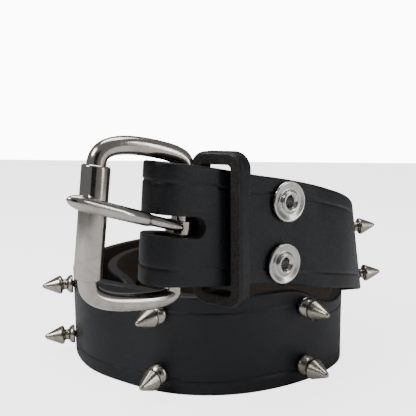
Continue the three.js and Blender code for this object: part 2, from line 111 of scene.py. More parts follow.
# Spikes
SPIKE_RADIUS = 4 * MM
SPIKE_HEIGHT = 13 * MM
SPIKE_POST_RADIUS = 1.5 * MM
SPIKE_HEAD_RADIUS = SPIKE_RADIUS * 0.88
SPIKE_HEAD_THICKNESS = 1.2 * MM
SPIKE_ROW_INSET = 7.5 * MM
SPIKE_PAIR_SPACING = 58.9 * MM
FIRST_PAIR_PLACE = 132.5 * MM
SPIKE_PAIRS = 7

# Prong holes
PRONG_HOLE_RADIUS = 2.4 * MM
PRONG_HOLE_SPACING = 25 * MM
PRONG_HOLES = 5
LAST_HOLE_FROM_TIP = 75 * MM

UP = Vector((0, 0, 1))

# The coil, station by station: bearing and outward lean in degrees, reach as a share of the half width and
# half depth, rise of the lower edge and dip of the upper edge as shares of the strap's width.
Station = namedtuple("Station", "bearing reach rise lean dip")
STATIONS = [Station(*row) for row in (
    (-112, 1.275, 1.315, 1, 0),
    (-100, 1.09, 1.265, 1, 0),
    (-82, 0.865, 1.17, 1, 0),
    (-65, 0.785, 1.11, -1, 0),
    (-44, 0.84, 1.01, -4, 0),
    (-22, 0.93, 0.885, -8, 0),
    (0, 1.02, 0.68, -8, 0),
    (30, 1.1, 0.37, -2, 0),
    (60, 1.15, 0.2, 0, 0),
    (90, 1.11, 0.09, 0, 0),
    (120, 1.04, 0.02, 0, 0),
    (150, 1.01, 0, 0, 0),
    (180, 0.985, 0, 1, 0),
    (205, 0.915, 0, 0, 0),
    (228, 0.805, 0, -4, 0),
    (250, 0.76, 0, 1, 0),
    (270, 0.73, 0, 2, 0),
    (292, 0.727, 0, 0, 0),
    (310, 0.755, 0, -1, 0.03),
    (326, 0.805, 0, 1, 0.2),
    (341, 0.857, 0, -1, 0.2),
    (359, 0.85, 0, 0, 0.02),
    (385, 0.8, 0, 0, 0),
    (420, 0.78, 0, 0, 0),
    (460, 0.773, 0, 0, 0),
    (500, 0.78, 0, 0, 0),
    (540, 0.76, 0, 0, 0),
    (590, 0.68, 0, 0, 0),
)]
FOLD_BEARING = -101.7
WALK_STEP = 0.5

Wall = namedtuple("Wall", "edge along across out dip")
Seat = namedtuple("Seat", "origin along across out")


def mixed(a, b, share):
    return a + (b - a) * share


def smooth_share(value, low, high):
    share = min(max((value - low) / (high - low), 0), 1)
    return share * share * (3 - 2 * share)


# Path of the strap

def column(name, bearing):
    """Smooth value of one column of the stations at any bearing."""
    last = len(STATIONS) - 2
    k = 0
    while k < last and STATIONS[k + 1].bearing <= bearing:
        k += 1

    def slope(i):
        i = min(max(i, 0), last)
        a, b = STATIONS[i], STATIONS[i + 1]
        return (getattr(b, name) - getattr(a, name)) / (b.bearing - a.bearing)

    def span(i):
        return STATIONS[i + 1].bearing - STATIONS[i].bearing

    def tangent(i):
        if i == 0 or i == last + 1:
            return slope(i - 1 if i else 0)
        return (span(i) * slope(i - 1) + span(i - 1) * slope(i)) / (span(i) + span(i - 1))

    h = span(k)
    t = (bearing - STATIONS[k].bearing) / h
    rest = 1 - t
    ends = (1 + 2 * t) * rest * rest * getattr(STATIONS[k], name)
    ends += t * t * (3 - 2 * t) * getattr(STATIONS[k + 1], name)
    return ends + t * rest * h * (rest * tangent(k) - t * tangent(k + 1))


def edge_point(bearing):
    reach = column("reach", bearing)
    angle = math.radians(bearing)
    x = COIL_HALF_WIDTH * reach * math.cos(angle)
    y = COIL_HALF_DEPTH * reach * math.sin(angle)
    return Vector((x, y, STRAP_WIDTH * column("rise", bearing) - RESTING_CUT)) + COIL_CENTRE


def wall_at_bearing(bearing):
    nearby = 0.05
    edge = edge_point(bearing)
    along = (edge_point(bearing + nearby) - edge_point(bearing - nearby)).normalized()
    sideways = along.cross(UP).normalized()
    upright = sideways.cross(along).lerp(UP, UPRIGHT_SHARE).normalized()
    lean = math.radians(column("lean", bearing))
    across = upright * math.cos(lean) + sideways * math.sin(lean)
    return Wall(edge, along, across, along.cross(across), max(column("dip", bearing), 0))


def measure_walk():
    """Bearings and distances along the middle of the strap, from the middle of the fold."""
    rows = []
    bearing = FOLD_BEARING
    while bearing <= STATIONS[-1].bearing:
        wall = wall_at_bearing(bearing)
        middle = wall.edge + wall.across * (STRAP_WIDTH / 2)
        place = rows[-1][1] + (middle - rows[-1][2]).length if rows else 0
        rows.append((bearing, place, middle))
        bearing += WALK_STEP
    return rows


WALK = measure_walk()
STRAP_LENGTH = WALK[-1][1]
walls_seen = {}


def wall_at(place):
    key = round(place / MM, 4)
    if key not in walls_seen:
        low, high = 0, len(WALK) - 1
        while high - low > 1:
            half = (low + high) // 2
            low, high = (half, high) if WALK[half][1] <= place else (low, half)
        share = (place - WALK[low][1]) / (WALK[high][1] - WALK[low][1])
        walls_seen[key] = wall_at_bearing(mixed(WALK[low][0], WALK[high][0], share))
    return walls_seen[key]


def strap_point(wall, up, depth):
    return wall.edge + wall.across * up - wall.out * depth


def seat_at(place, up):
    """Axes square to the grain side at one point of it."""
    step = 1 * MM
    ahead = strap_point(wall_at(place + step), up, 0)
    behind = strap_point(wall_at(max(place - step, 0)), up, 0)
    along = (ahead - behind).normalized()
    wall = wall_at(place)
    out = along.cross(wall.across).normalized()
    return Seat(strap_point(wall, up, 0), along, out.cross(along), out)


def footing(place, up, front_radius, back_radius, depth):
    """Where hardware sits on both faces of the wall, clear of its curve: the seat, its front and its back."""
    seat = seat_at(place, up)
    samples = 12

    def heights(radius, deep):
        found = []
        for i in range(samples):
            angle = 2 * math.pi * i / samples
            wall = wall_at(place + radius * math.cos(angle))
            point = strap_point(wall, up + radius * math.sin(angle), deep)
            found.append((point - seat.origin).dot(seat.out))
        return found

    front = max([0] + heights(front_radius, 0)) + SEAT_GAP
    back = min([-depth] + heights(back_radius, depth)) - SEAT_GAP
    return seat, front, back


# Fold round the heel bar
FOLD_INNER_RADIUS = WIRE_RADIUS + 2 * RUNNING_GAP
BAR_DEPTH = STRAP_THICKNESS + FOLD_INNER_RADIUS
FOLD_LENGTH = math.pi * (FOLD_INNER_RADIUS + STRAP_THICKNESS / 2)
FLAP_MEETS = KEEPER_PLACE - KEEPER_WIDTH
BUCKLE_DROP = BUCKLE_HALF_HEIGHT - WIRE_RADIUS - STRAP_WIDTH / 2 - SEAT_GAP
EYE_CENTRE = STRAP_WIDTH / 2 - BUCKLE_DROP + EYE_LIFT
STACK_DEPTH = STRAP_THICKNESS + LAYER_GAP + FLAP_THICKNESS


def layer_room(place):
    return mixed(2 * FOLD_INNER_RADIUS, LAYER_GAP, smooth_share(place, HEEL_BAR_SLACK + WIRE_RADIUS, FLAP_MEETS))


def flap_leather(place):
    return mixed(STRAP_THICKNESS, FLAP_THICKNESS, smooth_share(place, 0, FLAP_MEETS))


def fold_wall(turn):
    wall = wall_at(0)
    centre = wall.edge - wall.out * BAR_DEPTH
    out = wall.out * math.cos(turn) - wall.along * math.sin(turn)
    return Wall(centre + out * (FOLD_INNER_RADIUS + STRAP_THICKNESS), wall.along, wall.across, out, 0)


def wrapped(flat):
    """Where a point of the flat blank lies once the strap is folded and coiled."""
    along, up, depth = flat
    share = depth / STRAP_THICKNESS
    swell = UNEVENNESS * noise.noise(Vector((along * 45, up * 40, 3)))
    if along >= 0:
        wall = wall_at(along)
        point = strap_point(wall, up * (1 - wall.dip), depth - swell)
    elif along > -FOLD_LENGTH:
        point = strap_point(fold_wall(math.pi * -along / FOLD_LENGTH), up, depth)
    else:
        place = -along - FOLD_LENGTH
        depth = STRAP_THICKNESS + layer_room(place) + flap_leather(place) * (1 - share)
        point = strap_point(wall_at(place), up, depth)
    point.z = max(point.z, 0)
    return point


# Mesh helpers

def as_object(name, bm, angle=40):
    """A finished mesh object, smooth except along edges sharper than the angle."""
    mesh = bpy.data.meshes.new(name)
    for face in bm.faces:
        face.smooth = True
    for edge in bm.edges:
        edge.smooth = edge.calc_face_angle(0) < math.radians(angle)
    bm.to_mesh(mesh)
    bm.free()
    made = bpy.data.objects.new(name, mesh)
    bpy.context.scene.collection.objects.link(made)
    return made


def dressed(made, material, body, slot, *nodes):
    made.data.materials.clear()
    made.data.materials.append(material)
    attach(made, body)
    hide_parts(*nodes)
    return made


def loop_edges(verts):
    inside = set(verts)
    edges = {edge for vert in verts for edge in vert.link_edges}
    return [edge for edge in edges if all(vert in inside for vert in edge.verts)]


def wire_loop(bm, points):
    verts = [bm.verts.new(point) for point in points]
    for i, vert in enumerate(verts):
        bm.edges.new((vert, verts[(i + 1) % len(verts)]))
    return verts


def bridged(bm, loops, closed):
    pairs = list(zip(loops, loops[1:]))
    if closed:
        pairs.append((loops[-1], loops[0]))
    for a, b in pairs:
        bmesh.ops.bridge_loops(bm, edges=loop_edges(a) + loop_edges(b))
    if not closed:
        for ring in (loops[0], loops[-1]):
            bmesh.ops.contextual_create(bm, geom=loop_edges(ring))
    bmesh.ops.recalc_face_normals(bm, faces=bm.faces)


def combined(first, second, operation):
    """First cut by or joined with second, which is used up."""
    change = first.modifiers.new("change", "BOOLEAN")
    change.operation = operation
    change.solver = "EXACT"
    change.object = second
    bpy.context.view_layer.update()
    graph = bpy.context.evaluated_depsgraph_get()
    mesh = bpy.data.meshes.new_from_object(first.evaluated_get(graph))
    first.modifiers.remove(change)
    first.data = mesh
    bpy.data.objects.remove(second)
    return first


def turned(profile, segments, closed=False):
    """Body of revolution about Z through rows of radius and height, with the lathe's own coordinates kept."""
    bm = bmesh.new()
    verts = [bm.verts.new((radius, 0, height)) for radius, height in profile]
    ring = list(zip(verts, verts[1:]))
    if closed:
        ring.append((verts[-1], verts[0]))
    for a, b in ring:
        bm.edges.new((a, b))
    bmesh.ops.spin(bm, geom=bm.verts[:] + bm.edges[:], cent=(0, 0, 0), axis=(0, 0, 1), dvec=(0, 0, 0),
                   angle=2 * math.pi, steps=segments, use_merge=True, use_duplicate=False)
    bmesh.ops.remove_doubles(bm, verts=bm.verts, dist=1e-7)
    bmesh.ops.recalc_face_normals(bm, faces=bm.faces)
    lathe = bm.verts.layers.float_vector.new("lathe")
    for vert in bm.verts:
        vert[lathe] = vert.co
    return bm


def rounded(profile, size):
    """The profile with each inner corner cut by a short arc, no longer than a third of its sides."""
    points = [Vector(row) for row in profile]
    made = [points[0]]
    for before, corner, after in zip(points, points[1:], points[2:]):
        into = before - corner
        onward = after - corner
        start = corner + into.normalized() * min(size, into.length / 3)
        end = corner + onward.normalized() * min(size, onward.length / 3)
        for share in (0, 0.5, 1):
            made.append(start.lerp(corner, share).lerp(corner.lerp(end, share), share))
    return made + [points[-1]]


def placed(bm, origin, x_axis, y_axis, z_axis):
    turn = Matrix((x_axis, y_axis, z_axis)).transposed().to_4x4()
    bmesh.ops.transform(bm, matrix=Matrix.Translation(origin) @ turn, verts=bm.verts)
    return bm


# Strap

def strap_section():
    """The strap's section, from the lower grain corner up the grain side and back down the flesh side."""
    def corner(up, depth, radius, first_quarter):
        steps = 4
        for i in range(steps + 1):
            angle = math.pi / 2 * (first_quarter + i / steps)
            yield up + radius * math.cos(angle), depth + radius * math.sin(angle)

    def row(start, end, steps):
        return [(mixed(start, end, i / steps), 0) for i in range(1, steps)]

    def crease(middle):
        shape = ((-1.5, 0), (-1, 0.12), (-0.5, 0.75), (0, 1), (0.5, 0.75), (1, 0.12), (1.5, 0))
        return [(middle + CREASE_HALF_WIDTH * side, CREASE_DEPTH * deep) for side, deep in shape]

    width, thick = STRAP_WIDTH, STRAP_THICKNESS
    low_crease, high_crease = CREASE_INSET, width - CREASE_INSET
    half = 1.5 * CREASE_HALF_WIDTH
    points = row(GRAIN_CORNER, low_crease - half, 4) + crease(low_crease)
    points += row(low_crease + half, high_crease - half, 18) + crease(high_crease)
    points += row(high_crease + half, width - GRAIN_CORNER, 4)
    points += corner(width - GRAIN_CORNER, GRAIN_CORNER, GRAIN_CORNER, -1)
    points += [(width, thick * share) for share in (0.42, 0.6, 0.75)]
    points += corner(width - FLESH_CORNER, thick - FLESH_CORNER, FLESH_CORNER, 0)
    points += [(up, thick) for up, _ in reversed(row(FLESH_CORNER, width - FLESH_CORNER, 16))]
    points += corner(FLESH_CORNER, thick - FLESH_CORNER, FLESH_CORNER, 1)
    points += [(0, thick * share) for share in (0.75, 0.6, 0.42)]
    points += corner(GRAIN_CORNER, GRAIN_CORNER, GRAIN_CORNER, 2)
    return points


def ring_places():
    """Where the blank's sections lie along it, from the end of the flap to the tip."""
    start = -FOLD_LENGTH - FLAP_LENGTH
    straight = STRAP_LENGTH - TIP_RADIUS
    steps = math.ceil((straight - start) / RING_STEP)
    places = [mixed(start, straight, i / steps) for i in range(steps + 1)]
    tip_steps = 16
    bluntness = 0.97
    for i in range(1, tip_steps + 1):
        places.append(straight + TIP_RADIUS * math.sin(math.pi / 2 * bluntness * i / tip_steps))
    return places


def tip_share(along):
    """Share of the full width that the rounded tip leaves."""
    past = max(along - (STRAP_LENGTH - TIP_RADIUS), 0) / TIP_RADIUS
    return math.sqrt(max(1 - past * past, 0))


def slot_rows():
    low = EYE_CENTRE - EYE_WIDTH / 2 - SLOT_PLAY
    rod_at_fold = PRONG_SLOPE * (HEEL_BAR_SLACK + BAR_DEPTH)
    high = EYE_CENTRE + rod_at_fold + PRONG_RADIUS * PRONG_NECK_SHARE + SLOT_PLAY
    return low, high


def punches():
    """Round punches and the prong slot's oblong punch, as one cutter through the flat blank."""
    bm = bmesh.new()
    deep = 3 * STRAP_THICKNESS

    def punch(along, up, radius, segments=40):
        place = Matrix.Translation((along, up, STRAP_THICKNESS / 2))
        bmesh.ops.create_cone(bm, cap_ends=True, segments=segments, radius1=radius, radius2=radius,
                              depth=deep, matrix=place)

    for i in range(SPIKE_PAIRS):
        for up in (SPIKE_ROW_INSET, STRAP_WIDTH - SPIKE_ROW_INSET):
            punch(FIRST_PAIR_PLACE + i * SPIKE_PAIR_SPACING, up, SPIKE_POST_RADIUS + POST_CLEARANCE, 16)
    for along in (SNAP_PLACE, -FOLD_LENGTH - SNAP_PLACE):
        for up in (SNAP_ROW_INSET, STRAP_WIDTH - SNAP_ROW_INSET):
            punch(along, up, SNAP_TUBE_RADIUS + POST_CLEARANCE)
    for i in range(PRONG_HOLES):
        punch(STRAP_LENGTH - LAST_HOLE_FROM_TIP - i * PRONG_HOLE_SPACING, STRAP_WIDTH / 2, PRONG_HOLE_RADIUS)
    low, high = slot_rows()
    half = (high - low) / 2
    end = HEEL_BAR_SLACK + SLOT_PAST_BAR
    outline = []
    steps = 20
    for middle, start in ((end, -0.5), (-FOLD_LENGTH - end, 0.5)):
        for i in range(steps + 1):
            angle = math.pi * (start + i / steps)
            outline.append((middle + half * math.cos(angle), (low + high) / 2 + half * math.sin(angle),
                            (STRAP_THICKNESS - deep) / 2))
    face = bmesh.ops.contextual_create(bm, geom=loop_edges(wire_loop(bm, outline)))["faces"]
    made = bmesh.ops.extrude_face_region(bm, geom=face)["geom"]
    raised = [part for part in made if isinstance(part, bmesh.types.BMVert)]
    bmesh.ops.translate(bm, verts=raised, vec=(0, 0, deep))
    bmesh.ops.recalc_face_normals(bm, faces=bm.faces)
    return as_object("punches", bm)


def make_strap(material):
    """The blank is drawn out flat, punched, then folded round the bar and coiled."""
    places = ring_places()
    bm = bmesh.new()
    section = wire_loop(bm, [(0, up, depth) for up, depth in strap_section()])
    swept = bmesh.ops.spin(bm, geom=section + loop_edges(section), cent=(0, 0, 0), axis=(1, 0, 0),
                           dvec=(1, 0, 0), angle=0, steps=len(places) - 1, use_duplicate=False)
    last = [part for part in swept["geom_last"] if isinstance(part, bmesh.types.BMVert)]
    for ring in (section, last):
        bmesh.ops.contextual_create(bm, geom=loop_edges(ring))
    for vert in bm.verts:
        along = places[round(vert.co.x)]
        up = STRAP_WIDTH / 2 + (vert.co.y - STRAP_WIDTH / 2) * tip_share(along)
        vert.co = (along, up, vert.co.z)
    bmesh.ops.recalc_face_normals(bm, faces=bm.faces)
    strap = combined(as_object("strap_leather", bm), punches(), "DIFFERENCE")
    bm = bmesh.new()
    bm.from_mesh(strap.data)
    bpy.data.objects.remove(strap)
    flat = bm.verts.layers.float_vector.new("flat")
    for vert in bm.verts:
        along, up, depth = vert.co
        vert[flat] = (along, up, depth / STRAP_THICKNESS)
        vert.co = wrapped(vert.co)
    bmesh.ops.recalc_face_normals(bm, faces=bm.faces)
    return dressed(as_object("strap_leather", bm), material, "belt", "leather", "strap")


# Keeper

def keeper_axes():
    seat = seat_at(KEEPER_PLACE, STRAP_WIDTH / 2)
    turn = Quaternion(seat.out, -KEEPER_LEAN) @ Quaternion(seat.across, KEEPER_TWIST)
    tilt = Quaternion(seat.out, -KEEPER_LEAN)
    twist = Quaternion(seat.across, KEEPER_TWIST)

    def turned_in(axis):
        return tilt @ (twist @ axis)

    return seat, turned_in(seat.along), turned_in(seat.across), turned_in(seat.out)


def make_keeper(material):
    seat, along, across, out = keeper_axes()
    half = KEEPER_WIDTH / 2
    front, back, top = 0, 0, 0
    place = KEEPER_PLACE - 2 * KEEPER_WIDTH
    while place <= KEEPER_PLACE + 2 * KEEPER_WIDTH + MM / 10:
        for up in (0, STRAP_WIDTH / 2, STRAP_WIDTH):
            for depth in (0, STRAP_THICKNESS + layer_room(place) + flap_leather(place)):
                offset = strap_point(wall_at(place), up, depth) - seat.origin
                if abs(offset.dot(along)) <= half + SEAT_GAP:
                    front = max(front, offset.dot(out))
                    back = min(back, offset.dot(out))
                    top = max(top, offset.dot(across))
        place += MM / 2
    half_room = (front - back) / 2 + KEEPER_SIDE_GAP
    half_height = STRAP_WIDTH / 2 + KEEPER_EDGE_PLAY
    centre = seat.origin + out * (front + back) / 2 + across * (top + KEEPER_TOP_GAP - half_height)

    outer, inner, steps = 1.15 * MM, 0.35 * MM, 4
    corners = ((KEEPER_THICKNESS - outer, half - outer, outer, 0), (inner, half - inner, inner, 1),
               (inner, inner - half, inner, 2), (KEEPER_THICKNESS - outer, outer - half, outer, 3))
    section = []
    for thick, side, radius, quarter in corners:
        for i in range(steps + 1):
            angle = math.pi / 2 * (quarter + i / steps)
            section.append((thick + radius * math.cos(angle), side + radius * math.sin(angle)))
        section.append((section[-1][0], section[-1][1]))
    tidy = []
    for i, point in enumerate(section):
        if not tidy or (Vector(point) - Vector(tidy[-1])).length > 1e-7:
            tidy.append(point)
    section = tidy

    bm = bmesh.new()
    flat = bm.verts.layers.float_vector.new("flat")
    loops = []
    walked = 0
    corner_steps, side_steps = 10, (6, 24)
    spots = []
    for quarter, (sx, sy) in enumerate(((1, 1), (-1, 1), (-1, -1), (1, -1))):
        for i in range(corner_steps + 1):
            spots.append((sx, sy, math.pi / 2 * (quarter + i / corner_steps)))
        nx, ny = ((-1, 1), (-1, -1), (1, -1), (1, 1))[quarter]
        for i in range(1, side_steps[quarter % 2]):
            share = i / side_steps[quarter % 2]
            spots.append((mixed(sx, nx, share), mixed(sy, ny, share), math.pi / 2 * (quarter + 1)))
    for sx, sy, angle in spots:
        facing = out * math.cos(angle) + across * math.sin(angle)
        base = centre + out * sx * (half_room - KEEPER_CORNER) + across * sy * (half_height - KEEPER_CORNER)
        ring = wire_loop(bm, [base + facing * (KEEPER_CORNER + thick) + along * side for thick, side in section])
        for vert, (thick, side) in zip(ring, section):
            vert[flat] = (walked, side + half, 1 - thick / KEEPER_THICKNESS)
        loops.append(ring)
        walked += MM
    bridged(bm, loops, True)
    return dressed(as_object("keeper_leather", bm), material, "belt", "leather", "keeper")


# Hardware on the strap

def spike_profile(stack):
    """Head and post behind, domed base, neck and blunt cone in front."""
    r, h = SPIKE_RADIUS, SPIKE_HEIGHT
    head = [(0, stack), (SPIKE_HEAD_RADIUS, stack), (SPIKE_HEAD_RADIUS, stack + SPIKE_HEAD_THICKNESS),
            (SPIKE_POST_RADIUS, stack + SPIKE_HEAD_THICKNESS), (SPIKE_POST_RADIUS, 0)]
    base = [(r * 0.93, 0), (r, h * 0.035), (r * 0.99, h * 0.075), (r * 0.93, h * 0.12), (r * 0.8, h * 0.165),
            (r * 0.62, h * 0.2), (r * 0.56, h * 0.225), (r * 0.56, h * 0.3)]
    cone = [(r * 0.62, h * 0.33), (r * 0.86, h * 0.352), (r * 0.96, h * 0.375), (r, h * 0.41),
            (r * 0.985, h * 0.45), (r * 0.93, h * 0.49), (r * 0.27, h * 0.93), (r * 0.17, h * 0.97),
            (0, h)]
    return rounded(head + base + cone, 0.18 * MM)


def snap_profile(stack):
    """Dished flange with a raised inner ring in front, tube through both layers, plain disc behind."""
    r, h = SNAP_RADIUS, SNAP_HEIGHT
    front = [(SNAP_TUBE_RADIUS, 0), (r * 0.93, 0), (r * 0.985, h * 0.12), (r, h * 0.3), (r * 0.985, h * 0.5),
             (r * 0.945, h * 0.62), (r * 0.88, h * 0.6), (r * 0.7, h * 0.42), (r * 0.6, h * 0.38),
             (r * 0.555, h * 0.5), (r * 0.53, h * 0.8), (r * 0.49, h * 0.96), (r * 0.44, h),
             (r * 0.385, h * 0.97), (r * 0.34, h * 0.86), (SNAP_HOLE_RADIUS, h * 0.45)]
    behind = [(SNAP_HOLE_RADIUS, stack - SNAP_BACK_THICKNESS), (SNAP_BACK_RADIUS, stack - SNAP_BACK_THICKNESS),
              (SNAP_BACK_RADIUS, stack), (SNAP_TUBE_RADIUS, stack)]
    return rounded(front + behind, 0.16 * MM)


def seated(bm, seat, front):
    return placed(bm, seat.origin + seat.out * front, seat.along, seat.across, seat.out)


def make_spikes(material):
    rows = {"lower": SPIKE_ROW_INSET, "upper": STRAP_WIDTH - SPIKE_ROW_INSET}
    for i in range(SPIKE_PAIRS):
        for row, up in rows.items():
            place = FIRST_PAIR_PLACE + i * SPIKE_PAIR_SPACING
            seat, front, back = footing(place, up, SPIKE_RADIUS, SPIKE_HEAD_RADIUS, STRAP_THICKNESS)
            bm = seated(turned(spike_profile(back - front - SPIKE_HEAD_THICKNESS), 48), seat, front)
            name = f"spike_{row}_{i + 1}"
            dressed(as_object(name + "_turned", bm, 50), material, "belt", "spike_nickel", name)


def make_snaps(material):
    rows = {"lower": SNAP_ROW_INSET, "upper": STRAP_WIDTH - SNAP_ROW_INSET}
    for row, up in rows.items():
        seat, front, back = footing(SNAP_PLACE, up, SNAP_RADIUS, SNAP_BACK_RADIUS, STACK_DEPTH)
        bm = seated(turned(snap_profile(back - front), 72, True), seat, front)
        dressed(as_object(f"snap_{row}_pressed", bm, 50), material, "belt", "snap_steel", f"snap_{row}")


# Buckle

def buckle_axes():
    wall = wall_at(0)
    bar = strap_point(wall, STRAP_WIDTH / 2 - BUCKLE_DROP, BAR_DEPTH) + wall.along * HEEL_BAR_SLACK
    swing = Quaternion(wall.across, BUCKLE_SWING)
    out = swing @ wall.out
    lift = Quaternion(out, -BUCKLE_RAISE)
    return bar, lift @ (swing @ -wall.along), lift @ wall.across, out


BAR, AWAY, BAR_UP, FACING = buckle_axes()


def buckle_point(away, up, forward):
    return BAR + AWAY * away + BAR_UP * up + FACING * forward


def wire_route():
    """Centre line of the wire in the buckle's plane: straight at heel and roller, arched between them."""
    reach, top = BUCKLE_REACH, BUCKLE_HALF_HEIGHT
    roller_end = ROLLER_LENGTH / 2 + RUNNING_GAP
    rise = top - roller_end
    arches = (((0, HEEL_HALF_LENGTH), (0, top * 0.95), (reach * 0.15, top), (reach * 0.47, top)),
              ((reach * 0.47, top), (reach * 0.8, top), (reach, top - rise * 0.25), (reach, roller_end)))
    half = [Vector((0, 0, 0))]
    half += [Vector((0, HEEL_HALF_LENGTH * share, 0)) for share in (0.33, 0.66)]
    steps = 22
    for arch in arches:
        half += geometry.interpolate_bezier(*[Vector((x, y, 0)) for x, y in arch], steps)[:-1]
    half += [Vector((reach, roller_end * share, 0)) for share in (1, 0.66, 0.33, 0)]
    mirrored = [Vector((point.x, -point.y, 0)) for point in reversed(half[1:-1])]
    return half + mirrored


def make_buckle_frame(material):
    route = wire_route()
    bm = bmesh.new()
    loops = []
    for i, point in enumerate(route):
        tangent = (route[(i + 1) % len(route)] - route[i - 1]).normalized()
        direction = AWAY * tangent.x + BAR_UP * tangent.y
        side = direction.cross(FACING)
        turn = Matrix((FACING, side, direction)).transposed().to_4x4()
        place = Matrix.Translation(buckle_point(point.x, point.y, 0)) @ turn
        loops.append(bmesh.ops.create_circle(bm, segments=28, radius=WIRE_RADIUS, matrix=place)["verts"])
    bridged(bm, loops, True)
    return dressed(as_object("buckle_wire", bm), material, "buckle", "buckle_nickel", "buckle_frame")


def make_roller(material):
    inner = WIRE_RADIUS + RUNNING_GAP
    outer = inner + ROLLER_WALL
    half = ROLLER_LENGTH / 2
    lip = 0.45 * MM
    profile = [(inner, -half + lip), (inner + lip, -half), (outer - lip, -half), (outer, -half + lip),
               (outer, half - lip), (outer - lip, half), (inner + lip, half), (inner, half - lip)]
    bm = placed(turned(rounded(profile, 0.3 * MM), 64, True), buckle_point(BUCKLE_REACH, 0, 0),
                FACING, AWAY, BAR_UP)
    return dressed(as_object("roller_tube", bm, 50), material, "roller", "buckle_nickel", "roller")


def make_prong(material):
    eye_inner = WIRE_RADIUS + RUNNING_GAP
    eye_outer = eye_inner + EYE_WALL
    half = EYE_WIDTH / 2
    ring = [(eye_inner, -half), (eye_outer, -half), (eye_outer, half), (eye_inner, half)]
    eye = placed(turned(ring, 48, True), buckle_point(0, EYE_LIFT, 0), FACING, AWAY, BAR_UP)
    rest = WIRE_RADIUS + RUNNING_GAP + ROLLER_WALL + RUNNING_GAP + PRONG_RADIUS
    tip = BUCKLE_REACH + PRONG_OVERHANG
    neck = PRONG_NECK_SHARE
    rows = ((0.04, eye_inner + EYE_WALL * 0.65, 0.55), (0.09, eye_outer - 0.2 * MM, neck * 0.92),
            (0.14, eye_outer, neck), (0.24, eye_outer + 0.6 * MM, neck), (0.33, eye_outer + 1.15 * MM, neck),
            (0.355, eye_outer + 1.3 * MM, 0.86), (0.38, eye_outer + 1.5 * MM, 0.97), (0.41, rest, 1),
            (0.6, rest, 1), (0.88, rest, 1), (0.915, rest, 0.965), (0.945, rest - 0.1 * MM, 0.86),
            (0.97, rest - 0.2 * MM, 0.68), (0.988, rest - 0.3 * MM, 0.45), (1, rest - 0.4 * MM, 0.12))
    bm = bmesh.new()
    loops = []
    for away, forward, thick in rows:
        centre = buckle_point(away * tip, away * tip * PRONG_SLOPE + EYE_LIFT, forward)
        turn = Matrix((FACING, BAR_UP, AWAY)).transposed().to_4x4()
        loops.append(bmesh.ops.create_circle(bm, segments=32, radius=PRONG_RADIUS * thick,
                                             matrix=Matrix.Translation(centre) @ turn)["verts"])
    bridged(bm, loops, False)
    prong = combined(as_object("prong_bar", bm, 50), as_object("prong_eye", eye, 50), "UNION")
    return dressed(prong, material, "prong", "buckle_nickel", "prong")


# Shader groups and materials

class Net:
    """Short ways to add nodes to one tree."""

    def __init__(self, tree):
        self.tree = tree

    def add(self, kind, inputs=None, **settings):
        node = self.tree.nodes.new("ShaderNode" + kind)
        for name, value in settings.items():
            setattr(node, name, value)
        for name, value in (inputs or {}).items():
            self.feed(node.inputs[name], value)
        return node

    def feed(self, socket, value):
        if isinstance(value, bpy.types.NodeSocket):
            self.tree.links.new(value, socket)
        else:
            socket.default_value = value

    def math(self, operation, a, b=0.0, clamp=False):
        return self.add("Math", {0: a, 1: b}, operation=operation, use_clamp=clamp).outputs[0]

    def ramp(self, value, low, high, to_low=0.0, to_high=1.0):
        node = self.add("MapRange", {"Value": value, "From Min": low, "From Max": high,
                                     "To Min": to_low, "To Max": to_high}, interpolation_type="SMOOTHSTEP")
        return node.outputs["Result"]

    def mix(self, share, a, b):
        return self.add("Mix", {0: share, 6: a, 7: b}, data_type="RGBA").outputs[2]

    def noise(self, where, scale, detail=3.0, roughness=0.55, distortion=0.0):
        return self.add("TexNoise", {"Vector": where, "Scale": scale, "Detail": detail,
                                     "Roughness": roughness, "Distortion": distortion}).outputs["Fac"]

    def cells(self, where, scale, feature="F1", randomness=1.0):
        return self.add("TexVoronoi", {"Vector": where, "Scale": scale, "Randomness": randomness},
                        feature=feature).outputs["Distance"]

    def stretched(self, where, scale):
        return self.add("Mapping", {"Vector": where, "Scale": scale}).outputs[0]


def new_group(name, inputs, outputs):
    """An empty node group with named sockets: its net, its input node's outputs and its output node."""
    group = bpy.data.node_groups.new(name, "ShaderNodeTree")
    for socket, kind in inputs.items():
        group.interface.new_socket(socket, in_out="INPUT", socket_type="NodeSocket" + kind)
    for socket in outputs:
        group.interface.new_socket(socket, in_out="OUTPUT", socket_type="NodeSocketFloat")
    net = Net(group)
    entry = group.nodes.new("NodeGroupInput").outputs
    exit_node = group.nodes.new("NodeGroupOutput")
    return group, net, entry, exit_node


def grain_group():
    """Pebbled leather grain with fine wrinkles between the pebbles."""
    group, net, entry, leave = new_group("leather_grain", {"Where": "Vector", "Pebbles": "Float"}, ["Height"])
    warp = net.add("TexNoise", {"Vector": entry["Where"], "Scale": 260.0, "Detail": 2.0}).outputs["Color"]
    bent = net.add("VectorMath", {0: warp, 1: (0.0011, 0.0011, 0.0011)}, operation="MULTIPLY").outputs[0]
    where = net.add("VectorMath", {0: entry["Where"], 1: bent}, operation="ADD").outputs[0]
    coarse = net.ramp(net.cells(where, entry["Pebbles"], "DISTANCE_TO_EDGE"), 0.0, 0.32)
    fine = net.noise(where, 2600.0, 3.0, 0.6)
    height = net.math("ADD", net.math("MULTIPLY", coarse, 0.75), net.math("MULTIPLY", fine, 0.35))
    net.feed(leave.inputs["Height"], height)
    return group


